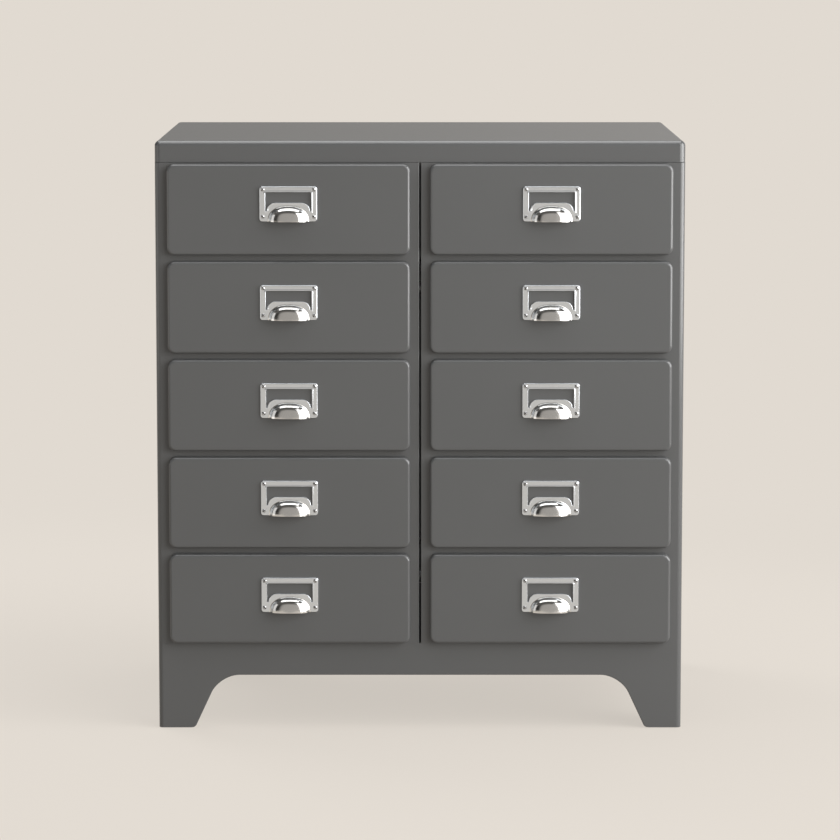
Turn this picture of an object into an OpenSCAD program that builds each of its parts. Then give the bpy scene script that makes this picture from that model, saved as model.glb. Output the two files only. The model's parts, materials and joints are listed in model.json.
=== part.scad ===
// Sheet-steel drawer cabinet: two bays of five drawers under one lid, on a bracket plinth.
// X runs to the right, Y to the back and Z up, with the origin on the floor under the middle.
// Everything is drawn shut. A drawer opens along -Y.

/* [Carcase] */
// Width over the side panels
case_w = 610; // [580:2:660]
// Depth from the front frame to the back panel
case_d = 420; // [380:5:480]
// Height from the floor to the top of the lid
case_h = 686; // [660:1:720]
// Thickness of every folded sheet
sheet = 1; // [0.8:0.1:1.2]
// Radius of the upright corners
corner_r = 7.5; // [6:0.5:10]
// Width of the gap between the two bays
bay_gap = 1.8; // [1:0.2:3]

/* [Lid] */
// Height of the lid's apron
lid_h = 25; // [20:1:35]
// Rounding of the lid's top edge
lid_edge_r = 5; // [3:0.5:6]

/* [Plinth] */
// Height of the plinth
plinth_h = 101; // [90:1:120]
// Height of the arch between the legs
arch_h = 63; // [50:1:75]
// Width of a leg at the floor
leg_w = 42; // [36:1:60]
// Slant of a leg's inner edge, in degrees from upright
leg_slant = 25; // [15:1:35]
// Radius where a leg runs into the arch
arch_r = 36; // [20:1:40]

/* [Drawers] */
// Rows of drawers in a bay
rows = 5; // [3:1:5]
// Upright gap between one front and the next
front_gap = 7.4; // [5:0.2:10]
// Frame seen beside a front, on the outside of the bay
side_reveal = 14.2; // [12:0.2:20]
// Frame seen beside a front, on the inside of the bay
middle_reveal = 10.5; // [9:0.5:15]
// Depth of the pressed front
front_d = 9.6; // [8:0.2:14]
// Corner radius of the front
front_r = 8.5; // [7:0.5:12]
// Rounding of the front's edges
front_edge_r = 3.5; // [2:0.5:5]
// Room left between a shut tray and the back of the carcase
tray_back_gap = 36; // [24:2:120]
// Height of the drawer tray
tray_h = 86; // [60:1:88]

/* [Pulls] */
// Width of the pull's plate
pull_w = 66; // [64:1:72]
// Height of the pull's plate
pull_h = 40.3; // [38:0.1:44]
// Height of the cup
cup_r = 16; // [14:0.5:18]
// Reach of the cup in front of the drawer
cup_reach = 12; // [11:0.5:13]
// Width of the cup
cup_w = 42; // [36:1:43]
// Height of the plate's lower edge over the front's
pull_up = 39.1; // [30:0.1:50]

/* [Hidden] */
$fn = 48;
eps = 0.01;

// Levels
lid_z = case_h - lid_h;      // lower edge of the lid, where the body ends
foot_lift = 0.8;             // the plinth's lower edge, held off the floor by the glides

// Depths: the box over everything is centred on Y, so the carcase sits back from its middle
buffer_t = 0.8;              // gap between a shut front and the frame, filled by rubber buffers
proud = buffer_t + front_d + cup_reach;
back_head_h = 1.8;           // heads of the screws at the back
yf = (proud - back_head_h - case_d) / 2;  // outer face of the front frame
yb = yf + case_d;            // outer face at the back
face_y = yf - buffer_t - front_d;

// Front frame and openings
bay_x = bay_gap / 2;
front_x = bay_x + middle_reveal;
front_w = case_w / 2 - side_reveal - front_x;
overlap_x = 7;               // a front laps the frame by this at each side
overlap_z = 5;               // and by this above and below
edge_margin = 1.3;           // from the outermost fronts to the lid and the plinth
end_trim = 1.6;              // the top and bottom fronts are shorter by this
lip_d = 12;                  // depth of the folded lips round each opening
side_return = 18;            // depth of the frame's wrap round the corner
pitch = (lid_z - plinth_h - 2 * edge_margin + 2 * end_trim + front_gap) / rows;

// Nominal foot of row k, counted from 1 at the top
function row_z(k) = lid_z - edge_margin + end_trim - k * pitch + front_gap;
function front_z0(k) = row_z(k) + (k == rows ? end_trim : 0);
function front_z1(k) = row_z(k) + pitch - front_gap - (k == 1 ? end_trim : 0);
function open_z0(k) = front_z0(k) + overlap_z;
function open_z1(k) = front_z1(k) - overlap_z;

// Drawer tray and its runner
open_x0 = front_x + overlap_x;
open_x1 = front_x + front_w - overlap_x;
tray_side_gap = 2.2;
tray_x0 = open_x0 + tray_side_gap;
tray_x1 = open_x1 - tray_side_gap;
tray_y0 = face_y + front_d;  // the tray is welded to the back of the hollow front
tray_y1 = yb - tray_back_gap;
hem_h = 8;
hem_t = 1.2;
function tray_z(k) = row_z(k) + overlap_z + end_trim + 2.5;

// Bay walls
divider_x = bay_x + sheet;   // face of the divider that meets the frame's inner fold
wall_in = case_w / 2 - sheet;

// Pull
plate_t = 2.2;
rim_w = 6.6;
flange_w = cup_w + 7.6;
flange_h = cup_r + 5.5;
flange_r = 9.5;
corner_block_h = 12;
cup_t = 1.2;
cup_power = 2.3;
screw_x = pull_w / 2 - 3.6;
screw_low = 5.4;
screw_high = pull_h - 3.6;
screw_hole_r = 1.65;
pull_x = front_x + front_w / 2;

paint = "#5f5f5d";
nickel = "#c9c5c0";
zinc = "#a9adb0";
black = "#242424";

ROWS = [for (k = [1:rows]) k];
ROOT_NODES = [
    "top_cap", "lid_carrier", "left_side_panel", "right_side_panel",
    "left_front_frame", "right_front_frame", "left_divider", "right_divider",
    "back_panel", "base_pan", "plinth_skirt", "plinth_back", "foot_plates", "foot_glides",
    "left_bay_runners", "right_bay_runners", "bay_tie_bolts", "back_screws", "lid_screws",
    "drawer_buffers"
];
DRAWER_NODES = ["front", "tray", "pull", "pull_screws"];

// ---------- shared outlines and forms ----------

// Rectangle with true round corners
module rounded_plan(x0, x1, y0, y1, r) {
    translate([x0 + r, y0]) square([x1 - x0 - 2 * r, y1 - y0]);
    translate([x0, y0 + r]) square([x1 - x0, y1 - y0 - 2 * r]);
    for (x = [x0 + r, x1 - r], y = [y0 + r, y1 - r]) translate([x, y]) circle(r);
}

// Plan of the carcase at a distance inside its outer face
module case_plan(inset = 0) {
    rounded_plan(-case_w / 2 + inset, case_w / 2 - inset, yf + inset, yb - inset, corner_r - inset);
}

// The thickness of sheet that runs round the carcase
module case_wall_plan() {
    difference() {
        case_plan();
        case_plan(sheet);
    }
}

// Draws its children as they are for the right bay, or mirrored for the left
module bay(side) {
    mirror([side == "left" ? 1 : 0, 0, 0]) children();
}

// Stands an outline drawn in X and Z upright, from y to y + depth
module upright(y, depth) {
    translate([0, y + depth, 0]) rotate([90, 0, 0]) linear_extrude(depth) children();
}

// Half section through the edge of a pressed pan, from the corner's axis outwards
module pan_edge_section(r, edge_r, h) {
    square([r, h - edge_r]);
    square([r - edge_r, h]);
    translate([r - edge_r, h - edge_r]) intersection() {
        circle(edge_r);
        square(edge_r);
    }
}

module pan_edge_wall(r, edge_r, h) {
    difference() {
        pan_edge_section(r, edge_r, h);
        translate([0, -eps]) pan_edge_section(r - sheet, edge_r - sheet, h - sheet + eps);
    }
}

// Pressed pan, open below: w by l over the outside, h high, its corner at the origin
module pressed_pan(w, l, h, r, edge_r) {
    for (turn = [0:3]) {
        along = turn % 2 == 0 ? l : w;
        corner = [[w, l], [0, l], [0, 0], [w, 0]][turn] - r * [[1, 1], [-1, 1], [-1, -1], [1, -1]][turn];
        translate(corner) rotate(90 * turn) {
            rotate_extrude(angle = 90) pan_edge_wall(r, edge_r, h);
            rotate([90, 0, 0]) linear_extrude(along - 2 * r) pan_edge_wall(r, edge_r, h);
        }
    }
    translate([r, r, h - sheet]) cube([w - 2 * r, l - 2 * r, sheet]);
}

// Opening between two legs, from below the floor up to the arch. grow moves its edge outwards.
module arch_outline(half_span, grow = 0) {
    toe_r = 5;
    c = cos(leg_slant);
    s = sin(leg_slant);
    arch_z = arch_h - arch_r;
    arch_x = half_span - arch_r / c - arch_z * s / c;
    toe_z = foot_lift + toe_r;
    toe_x = half_span + toe_r / c - toe_z * s / c;
    right = concat(
        [[toe_x, -1], [toe_x, toe_z - (toe_r - grow)]],
        [for (a = [260:-11:205]) [toe_x, toe_z] + (toe_r - grow) * [cos(a), sin(a)]],
        [for (i = [0:10]) let(a = leg_slant + i * (90 - leg_slant) / 10)
            [arch_x, arch_z] + (arch_r + grow) * [cos(a), sin(a)]]
    );
    polygon(concat(right, [for (i = [len(right) - 1:-1:0]) [-right[i][0], right[i][1]]]));
}

module hex_nut(r, h) {
    cylinder(r = r, h = h, $fn = 6);
}

// Slotted round-head screw along +Z, its head on top and the underside of the head at z = 0
module slotted_screw(head_r, head_h, shank_r, shank_l) {
    dome_r = (head_r * head_r + head_h * head_h) / (2 * head_h);
    slot = 0.38 * head_r;
    difference() {
        intersection() {
            translate([0, 0, head_h - dome_r]) sphere(dome_r);
            cylinder(r = head_r + 1, h = head_h + 1);
        }
        translate([-head_r - 1, -slot / 2, 0.35 * head_h]) cube([2 * head_r + 2, slot, head_h]);
    }
    translate([0, 0, -shank_l]) cylinder(r = shank_r, h = shank_l + eps);
}

// ---------- carcase ----------

module top_cap() {
    color(paint) difference() {
        translate([-case_w / 2, yf, lid_z]) pressed_pan(case_w, case_d, lid_h, corner_r, lid_edge_r);
        lid_screw_holes();
    }
}

// Tray that closes the body and locates the lid by its upturned walls
carrier_z = lid_z - 4;
carrier_h = 19;
carrier_x = wall_in - 1.2;
carrier_y0 = yf + lip_d + 0.5;
carrier_y1 = yb - 2 * sheet - 0.2;
module carrier_plan(inset) {
    rounded_plan(-carrier_x + inset, carrier_x - inset, carrier_y0 + inset, carrier_y1 - inset, 5 - inset);
}

module lid_carrier() {
    color(paint) difference() {
        translate([0, 0, carrier_z]) {
            linear_extrude(sheet) carrier_plan(0);
            linear_extrude(carrier_h) difference() {
                carrier_plan(0);
                carrier_plan(sheet);
            }
        }
        lid_screw_holes();
    }
}

// Side sheet: tucks behind the frame's wrap in front and folds round the corner at the back
back_return = 24;
module side_panel(side) {
    tuck = 10;
    seam_y = yf + side_return;
    color(paint) bay(side) difference() {
        translate([0, 0, plinth_h]) linear_extrude(lid_z - plinth_h) {
            intersection() {
                case_wall_plan();
                union() {
                    translate([wall_in - 1, seam_y]) square([10, case_d]);
                    translate([case_w / 2 - corner_r - back_return, yb - 3]) square([100, 10]);
                }
            }
            translate([wall_in - sheet, seam_y - tuck]) square([sheet, tuck + 2]);
        }
        // The front tuck stops short of the lid carrier
        translate([wall_in - sheet - 5, seam_y - tuck - 1, carrier_z - 1]) cube([sheet + 5, tuck + 4, 10]);
        back_screw_holes();
    }
}

// Ladder of stiles and rails round the five openings of a bay, welded and ground flush
joint_gap = 0.1;             // between a rail's end and a stile, where the weld is
rail_x0 = open_x0 + joint_gap;
rail_w = open_x1 - joint_gap - rail_x0;
RAIL_Z0 = concat([plinth_h], [for (k = [rows:-1:1]) open_z1(k)]);
RAIL_Z1 = concat([for (k = [rows:-1:1]) open_z0(k)], [lid_z]);

// Channel across the bay, open at the back. The ends of the ladder have a lip on one side only.
module frame_rail(i) {
    h = RAIL_Z1[i] - RAIL_Z0[i];
    translate([rail_x0, yf, RAIL_Z0[i]]) {
        cube([rail_w, sheet, h]);
        if (i > 0) cube([rail_w, lip_d, sheet]);
        if (i < rows) translate([0, 0, h - sheet]) cube([rail_w, lip_d, sheet]);
    }
}

module front_frame(side) {
    color(paint) bay(side) {
        translate([0, 0, plinth_h]) linear_extrude(lid_z - plinth_h) {
            // inner stile
            translate([bay_x, yf]) square([open_x0 - bay_x, sheet]);
            for (x = [bay_x, open_x0 - sheet]) translate([x, yf]) square([sheet, lip_d]);
            // outer stile, wrapped round the corner of the carcase
            intersection() {
                case_wall_plan();
                translate([open_x1, yf - 1]) square([case_w, side_return + 1]);
            }
            translate([open_x1, yf]) square([sheet, lip_d]);
        }
        for (i = [0:rows]) frame_rail(i);
    }
}

// Inner wall of a bay, with a flange that the back panel is fixed to
module divider(side) {
    color(paint) bay(side) difference() {
        translate([divider_x, 0, plinth_h]) union() {
            translate([0, yf + 2, 0]) cube([sheet, yb - 2 * sheet - yf - 2, carrier_z - plinth_h]);
            translate([0, yb - 3 * sheet, 0]) cube([16, sheet, carrier_z - plinth_h]);
        }
        for (y = TIE_Y, z = TIE_Z) translate([0, y, z]) rotate([0, 90, 0]) cylinder(r = 2.7, h = 10);
    }
}

module back_panel() {
    edge = 7;
    color(paint) difference() {
        translate([-wall_in + edge, yb - 2 * sheet, plinth_h + 1])
            cube([2 * (wall_in - edge), sheet, lid_z - plinth_h - 2]);
        back_screw_holes();
    }
}

// Flat floor of the body, inside the plinth's upper edge
module base_pan() {
    color(paint) translate([0, 0, plinth_h - sheet]) linear_extrude(sheet) case_plan(sheet + 0.2);
}

// ---------- plinth ----------

foot_in = 22;                // from the outer faces to the axis of a glide
FOOT_X = [-case_w / 2 + foot_in, case_w / 2 - foot_in];
FOOT_Y = [yf + foot_in, yb - foot_in];
plinth_top = plinth_h - sheet;
front_span = case_w / 2 - leg_w;
side_span = case_d / 2 - leg_w;
y_mid = (yf + yb) / 2;
arch_lip = 10;
ledge_w = 15;
back_lap = 84;               // how far the skirt runs round onto the back

module arch_lip_outline(half_span) {
    intersection() {
        difference() {
            arch_outline(half_span, sheet);
            arch_outline(half_span);
        }
        translate([-half_span - 10, foot_lift]) square([2 * half_span + 20, arch_h + 5]);
    }
}

// Skirt: one sheet round the front, the sides and the rear corners
module plinth_skirt() {
    color(paint) {
        difference() {
            translate([0, 0, foot_lift]) linear_extrude(plinth_h - foot_lift) difference() {
                case_wall_plan();
                translate([-case_w / 2 + back_lap, yb - 10]) square([case_w - 2 * back_lap, 20]);
            }
            upright(yf - 5, 10) arch_outline(front_span);
            upright(yb - 5, 10) arch_outline(front_span);
            for (x = [-case_w / 2 - 5, case_w / 2 - 5]) translate([x, y_mid, 0]) rotate([90, 0, 90])
                linear_extrude(10) arch_outline(side_span);
        }
        // folded lips that stiffen the arches
        upright(yf + sheet - eps, arch_lip) arch_lip_outline(front_span);
        for (x = [-wall_in - eps, wall_in + eps - arch_lip]) translate([x, y_mid, 0]) rotate([90, 0, 90])
            linear_extrude(arch_lip) arch_lip_outline(side_span);
        // ledge that carries the base pan
        translate([0, 0, plinth_top - sheet]) linear_extrude(sheet) difference() {
            case_plan(sheet / 2);
            rounded_plan(-case_w / 2 + ledge_w, case_w / 2 - ledge_w, yf + ledge_w, yb, 1);
            translate([-case_w, yb - 12]) square([2 * case_w, 20]);
        }
    }
}

// Plate behind the skirt's two rear ends
module plinth_back() {
    lap = 16;
    half = case_w / 2 - back_lap + lap;
    color(paint) {
        difference() {
            translate([-half, yb - 2 * sheet, foot_lift])
                cube([2 * half, sheet, plinth_top - foot_lift - 0.2]);
            upright(yb - 5, 10) arch_outline(front_span);
        }
        intersection() {
            upright(yb - 2 * sheet - arch_lip + eps, arch_lip) arch_lip_outline(front_span);
            translate([-half, yb - 30, 0]) cube([2 * half, 40, plinth_h]);
        }
    }
}

// Square plates welded into the four corners, tapped for the glides
foot_plate_z = 12;
foot_plate_t = 3;
module foot_plates() {
    size = 34;
    color(paint) for (x = FOOT_X, y = FOOT_Y) translate([x, y, foot_plate_z]) difference() {
        translate([-size / 2, -size / 2, 0]) cube([size, size, foot_plate_t]);
        translate([0, 0, -1]) cylinder(r = 4.1, h = foot_plate_t + 2);
    }
}

module foot_glides() {
    pad_r = 13;
    color(black) for (x = FOOT_X, y = FOOT_Y) translate([x, y, 0]) {
        cylinder(r1 = pad_r - 1, r2 = pad_r, h = 1);
        translate([0, 0, 1]) cylinder(r = pad_r, h = 4);
        translate([0, 0, 5]) cylinder(r1 = pad_r, r2 = 7, h = 3);
        translate([0, 0, 8 - eps]) cylinder(r = 4, h = 18);
        translate([0, 0, foot_plate_z + foot_plate_t + 0.1]) difference() {
            hex_nut(7.5, 5);
            translate([0, 0, -1]) cylinder(r = 3.9, h = 7);
        }
    }
}

// ---------- inside the bays ----------

runner_y0 = yf + side_return + 3;
runner_l = case_d - 55;
runner_top = 12;             // height of the guide over the tray's floor
runner_flange = 10;
running_gap = 0.8;

// Z-section along Y: ledge under the tray, guide beside it, flange on a wall at a distance
module runner(wall_gap) {
    ledge = 3.8;
    rest = 0.4;
    rotate([90, 0, 0]) linear_extrude(runner_l) polygon([
        [-ledge, -rest - sheet], [running_gap + sheet, -rest - sheet],
        [running_gap + sheet, runner_top - sheet], [wall_gap, runner_top - sheet],
        [wall_gap, runner_top + runner_flange],
        [wall_gap - sheet, runner_top + runner_flange], [wall_gap - sheet, runner_top],
        [running_gap, runner_top], [running_gap, -rest], [-ledge, -rest]
    ]);
}

module bay_runners(side) {
    color(zinc) bay(side) for (k = ROWS) translate([0, runner_y0 + runner_l, tray_z(k)]) {
        translate([tray_x1, 0, 0]) runner(wall_in - tray_x1);
        translate([tray_x0, 0, 0]) mirror([1, 0, 0]) runner(tray_x0 - divider_x - sheet);
    }
}

// Bolts through both dividers, with a spacer between them
TIE_Y = [yf + 70, yb - 70];
TIE_Z = [tray_z(2) + 60, tray_z(5) + 60];
module bay_tie_bolts() {
    half = divider_x + sheet;
    color(zinc) for (y = TIE_Y, z = TIE_Z) translate([0, y, z]) rotate([0, 90, 0]) {
        difference() {
            translate([0, 0, -divider_x]) cylinder(r = 6, h = 2 * divider_x);
            translate([0, 0, -10]) cylinder(r = 2.6, h = 20);
        }
        translate([0, 0, -half - 5]) cylinder(r = 2.5, h = 2 * half + 5 + eps);
        translate([0, 0, half]) hex_nut(4.6, 3.5);
        translate([0, 0, -half - 4]) difference() {
            hex_nut(4.6, 4);
            translate([0, 0, -1]) cylinder(r = 2.4, h = 6);
        }
    }
}

// Small rubber pads that a shut front rests on
module drawer_buffers() {
    up = 17;
    in = 4;
    color(black) for (side = ["left", "right"]) bay(side)
        for (k = ROWS, x = [front_x + in, front_x + front_w - in])
            translate([x, yf, front_z0(k) + up]) rotate([90, 0, 0]) cylinder(r = 2.4, h = buffer_t);
}

// ---------- screws at the back ----------

BACK_SCREW_X = wall_in - 17;
BACK_SCREW_Z = [for (i = [0:3]) plinth_h + 24 + i * (lid_z - plinth_h - 48) / 3];
module back_screw_holes() {
    for (z = BACK_SCREW_Z, s = [-1, 1]) translate([s * BACK_SCREW_X, yb - 4, z])
        rotate([-90, 0, 0]) cylinder(r = 2.1, h = 8);
}

module back_screws() {
    color(zinc) for (z = BACK_SCREW_Z, s = [-1, 1]) translate([s * BACK_SCREW_X, yb, z])
        rotate([-90, 0, 0]) slotted_screw(3.8, back_head_h, 1.9, 6);
}

LID_SCREW_X = [-220, 0, 220];
LID_SCREW_Z = lid_z + 8;
module lid_screw_holes() {
    for (x = LID_SCREW_X) translate([x, yb - 8, LID_SCREW_Z]) rotate([-90, 0, 0]) cylinder(r = 2.1, h = 12);
}

module lid_screws() {
    color(zinc) for (x = LID_SCREW_X) translate([x, yb, LID_SCREW_Z])
        rotate([-90, 0, 0]) slotted_screw(3.8, back_head_h, 1.9, 8);
}

// ---------- drawers ----------

// Places its children at the pull's own origin: middle of its lower edge, on the front's face
module at_pull(k) {
    translate([pull_x, face_y, row_z(k) + pull_up]) children();
}

module pull_holes(k, r) {
    at_pull(k) for (x = [-screw_x, screw_x], z = [screw_low, screw_high])
        translate([x, -5, z]) rotate([-90, 0, 0]) cylinder(r = r, h = 10);
}

// Pressed front, hollow, with its rear edge folded in as the flange that the tray is welded to
module drawer_front(side, k) {
    h = front_z1(k) - front_z0(k);
    hem = 13;
    inner_r = 2;
    color(paint) bay(side) difference() {
        union() {
            translate([front_x, face_y + front_d, front_z0(k)]) rotate([90, 0, 0])
                pressed_pan(front_w, h, front_d, front_r, front_edge_r);
            translate([front_x, 0, front_z0(k)]) upright(face_y + front_d - sheet, sheet) difference() {
                rounded_plan(eps, front_w - eps, eps, h - eps, front_r - eps);
                rounded_plan(hem, front_w - hem, hem, h - hem, inner_r);
            }
        }
        pull_holes(k, screw_hole_r);
    }
}

// Folded tray with a hem along the top of each side
module drawer_tray(side, k) {
    w = tray_x1 - tray_x0;
    l = tray_y1 - tray_y0;
    color(paint) bay(side) translate([tray_x0, tray_y0, tray_z(k)]) {
        difference() {
            cube([w, l, tray_h]);
            translate([sheet, sheet, sheet]) cube([w - 2 * sheet, l - 2 * sheet, tray_h]);
        }
        for (x = [sheet, w - sheet - hem_t]) translate([x - eps, sheet, tray_h - hem_h])
            cube([hem_t + 2 * eps, l - 2 * sheet, hem_h]);
    }
}

// Half-height of the cup's outline at x, on a superellipse
function cup_edge(x, a, b) = b * pow(max(0, 1 - pow(abs(x) / a, cup_power)), 1 / cup_power);

// Points closer together towards the ends, where the outline turns down
cup_steps = 11;
function cup_curve(a, b) = [for (i = [-cup_steps:cup_steps]) let(x = a * sin(90 * i / cup_steps))
    [cup_edge(x, a, b), x]];

module cup_outline(inset) {
    rotate(90) mirror([0, 1]) polygon(cup_curve(cup_w / 2 - inset, cup_r - inset));
}

// Room that the cup takes at a distance inside its surface: a turned form with a flat front
module cup_form(inset, angle) {
    a = cup_w / 2 - inset;
    intersection() {
        rotate([0, -90, 0]) rotate([0, 0, -90]) rotate_extrude(angle = angle)
            polygon(cup_curve(a, cup_r - inset));
        translate([-a - 1, inset - cup_reach, -cup_r - 1]) cube([2 * a + 2, 2 * cup_reach, 2 * cup_r + 2]);
    }
}

module flange_outline() {
    half = flange_w / 2;
    translate([-half, 0]) square([flange_w, flange_h - flange_r]);
    translate([-half + flange_r, 0]) square([flange_w - 2 * flange_r, flange_h]);
    for (x = [-half + flange_r, half - flange_r]) translate([x, flange_h - flange_r]) circle(flange_r);
}

module pull_plate_outline() {
    window = pull_w / 2 - rim_w;
    difference() {
        rounded_plan(-pull_w / 2, pull_w / 2, 0, pull_h, 3);
        difference() {
            rounded_plan(-window, window, corner_block_h, pull_h - rim_w, 1.5);
            flange_outline();
        }
        translate([0, -eps]) cup_outline(cup_t / 2);
        for (x = [-screw_x, screw_x], z = [screw_low, screw_high]) translate([x, z]) circle(screw_hole_r);
    }
}

// Label frame and cup in one pressing. The label slides in behind the rim.
module drawer_pull(side, k) {
    slot_w = pull_w - 8;
    slot_d = 1;
    slot_h = pull_h - rim_w + 0.3 - corner_block_h;
    color(nickel) bay(side) at_pull(k) {
        difference() {
            upright(-plate_t, plate_t) pull_plate_outline();
            translate([-slot_w / 2, -slot_d, corner_block_h]) cube([slot_w, slot_d + eps, slot_h]);
        }
        difference() {
            cup_form(0, 90);
            cup_form(cup_t, 360);
        }
    }
}

// Four self-tapping screws through the pull into the skin of the hollow front
module pull_screws(side, k) {
    shank_r = 1.5;
    shank_l = plate_t + sheet + 2;
    tip_l = 2.2;
    color(nickel) bay(side) at_pull(k) for (x = [-screw_x, screw_x], z = [screw_low, screw_high])
        translate([x, -plate_t, z]) rotate([90, 0, 0]) {
            slotted_screw(2.3, 1, shank_r, shank_l);
            translate([0, 0, -shank_l - tip_l]) cylinder(r1 = 0.3, r2 = shank_r, h = tip_l + eps);
        }
}

// ---------- the nodes ----------

top_cap();
lid_carrier();
for (side = ["left", "right"]) {
    side_panel(side);
    front_frame(side);
    divider(side);
    bay_runners(side);
}
back_panel();
base_pan();
plinth_skirt();
plinth_back();
foot_plates();
foot_glides();
bay_tie_bolts();
back_screws();
lid_screws();
drawer_buffers();
for (side = ["left", "right"], k = ROWS) {
    drawer_front(side, k);
    drawer_tray(side, k);
    drawer_pull(side, k);
    pull_screws(side, k);
}
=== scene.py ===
"""Dresses the drawer cabinet: sheet-steel carcase, ten pressed drawers and their nickel cup pulls.

The pieces come in the order in which the cabinet is put together, from the plinth up to the lid,
then the drawers, the pulls and at last the studio. All lengths are in metres.
"""

import json
import math
from itertools import cycle

import bmesh
import bpy
from mathutils import Matrix, Vector


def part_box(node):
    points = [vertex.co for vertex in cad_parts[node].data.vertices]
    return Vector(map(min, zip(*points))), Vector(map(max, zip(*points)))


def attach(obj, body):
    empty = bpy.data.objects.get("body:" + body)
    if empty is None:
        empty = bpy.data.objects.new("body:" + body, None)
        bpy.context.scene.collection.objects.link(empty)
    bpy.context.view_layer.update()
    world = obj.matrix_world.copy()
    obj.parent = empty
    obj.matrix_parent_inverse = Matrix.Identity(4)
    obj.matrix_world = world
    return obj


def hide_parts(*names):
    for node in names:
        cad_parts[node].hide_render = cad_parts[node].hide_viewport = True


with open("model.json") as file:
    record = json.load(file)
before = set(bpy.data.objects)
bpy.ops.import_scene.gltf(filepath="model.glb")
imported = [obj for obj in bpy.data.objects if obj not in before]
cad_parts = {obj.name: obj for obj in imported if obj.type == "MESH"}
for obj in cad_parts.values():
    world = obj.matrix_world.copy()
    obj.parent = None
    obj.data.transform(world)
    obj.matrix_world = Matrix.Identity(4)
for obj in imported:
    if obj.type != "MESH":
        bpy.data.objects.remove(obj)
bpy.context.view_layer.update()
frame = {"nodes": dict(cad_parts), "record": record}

# ---------- Plinth skirt ----------
# One strip of 1 mm steel bent round the front, the sides and the rear corners. An arch is cut
# between the legs of each side, and its edge is folded in as a lip that stiffens it. The ledge
# round the top is spot-welded on and carries the floor of the body.
MM = 0.001
SHEET = 1 * MM
CORNER_R = 5.8 * MM
FOLD_R = 1.2 * MM
LEG_W = 42 * MM
LEG_SLANT = math.radians(25)
TOE_R = 5 * MM
ARCH_H = 63 * MM
ARCH_R = 36 * MM
ARCH_LIP = 10 * MM
BACK_LAP = 84 * MM
LEDGE_W = 15 * MM
LEDGE_BACK_GAP = 12 * MM
CUT_EDGE_R = 0.25 * MM
CORNER_STEPS = 8
SHARP_ANGLE = math.radians(50)
TINY = 0.01 * MM


def noise(material, scale, detail=2, squeeze=(1, 1, 1)):
    """A cloudy pattern fixed to the piece, and squeezed by a factor along each axis."""
    nodes, links = material.node_tree.nodes, material.node_tree.links
    mapping = nodes.new("ShaderNodeMapping")
    mapping.inputs["Scale"].default_value = squeeze
    links.new(nodes.new("ShaderNodeTexCoord").outputs["Object"], mapping.inputs["Vector"])
    pattern = nodes.new("ShaderNodeTexNoise")
    pattern.inputs["Scale"].default_value = scale
    pattern.inputs["Detail"].default_value = detail
    links.new(mapping.outputs["Vector"], pattern.inputs["Vector"])
    return pattern.outputs["Fac"]


def colour_between(material, pattern, low, high):
    """Lets a pattern shift the colour between two tones."""
    nodes, links = material.node_tree.nodes, material.node_tree.links
    tone = nodes.new("ShaderNodeMix")
    tone.data_type = "RGBA"
    tone.inputs["A"].default_value = (*low, 1)
    tone.inputs["B"].default_value = (*high, 1)
    links.new(pattern, tone.inputs["Factor"])
    links.new(tone.outputs["Result"], nodes["Principled BSDF"].inputs["Base Color"])


def roughness_between(material, pattern, low, high):
    """Lets a pattern shift the roughness between two levels."""
    nodes, links = material.node_tree.nodes, material.node_tree.links
    gloss = nodes.new("ShaderNodeMapRange")
    gloss.inputs["To Min"].default_value = low
    gloss.inputs["To Max"].default_value = high
    links.new(pattern, gloss.inputs["Value"])
    links.new(gloss.outputs["Result"], nodes["Principled BSDF"].inputs["Roughness"])


def relief(material, pattern, strength, depth):
    """Lets a pattern raise and lower the surface, and returns its normal."""
    nodes, links = material.node_tree.nodes, material.node_tree.links
    bump = nodes.new("ShaderNodeBump")
    bump.inputs["Strength"].default_value = strength
    bump.inputs["Distance"].default_value = depth
    links.new(pattern, bump.inputs["Height"])
    links.new(bump.outputs["Normal"], nodes["Principled BSDF"].inputs["Normal"])
    return bump.outputs["Normal"]


def powder_coat():
    """Satin dark grey powder coat: fine orange peel, and a tone that wanders a little."""
    material = bpy.data.materials.new("grey_powder_coat")
    material.use_nodes = True
    shader = material.node_tree.nodes["Principled BSDF"]
    clouds = noise(material, scale=5, detail=4)
    colour_between(material, clouds, (0.085, 0.087, 0.088), (0.096, 0.098, 0.099))
    peel = noise(material, scale=420)
    roughness_between(material, peel, 0.30, 0.38)
    normal = relief(material, peel, strength=0.35, depth=0.03 * MM)
    material.node_tree.links.new(normal, shader.inputs["Coat Normal"])
    shader.inputs["Specular IOR Level"].default_value = 0.25
    shader.inputs["Coat Weight"].default_value = 0.9
    shader.inputs["Coat Roughness"].default_value = 0.12
    return material


def chain(bm, points, closed=False):
    """Vertices joined by edges, in order."""
    verts = [bm.verts.new(point) for point in points]
    for pair in zip(verts, verts[1:] + (verts[:1] if closed else [])):
        bm.edges.new(pair)
    return verts


def round_corner(bm, vert, radius, segments):
    """Turns a corner of a chain into an arc."""
    arms = [edge.other_vert(vert).co - vert.co for edge in vert.link_edges]
    setback = radius / math.tan(arms[0].angle(arms[1]) / 2)
    bmesh.ops.bevel(bm, geom=[vert], offset=setback, offset_type="OFFSET", segments=segments,
                    profile=0.5, affect="VERTICES", material=-1)


def round_fold(bm, edges, radius, segments):
    """Rounds the folds of a sheet."""
    bmesh.ops.bevel(bm, geom=list(edges), offset=radius, offset_type="OFFSET", segments=segments,
                    profile=0.5, affect="EDGES", clamp_overlap=True, material=-1)


def pull_out(bm, edges, way):
    """Pulls a strip of sheet out of a row of edges and returns its new vertices."""
    made = bmesh.ops.extrude_edge_only(bm, edges=list(edges))["geom"]
    verts = [item for item in made if isinstance(item, bmesh.types.BMVert)]
    bmesh.ops.translate(bm, verts=verts, vec=way)
    return verts


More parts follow.
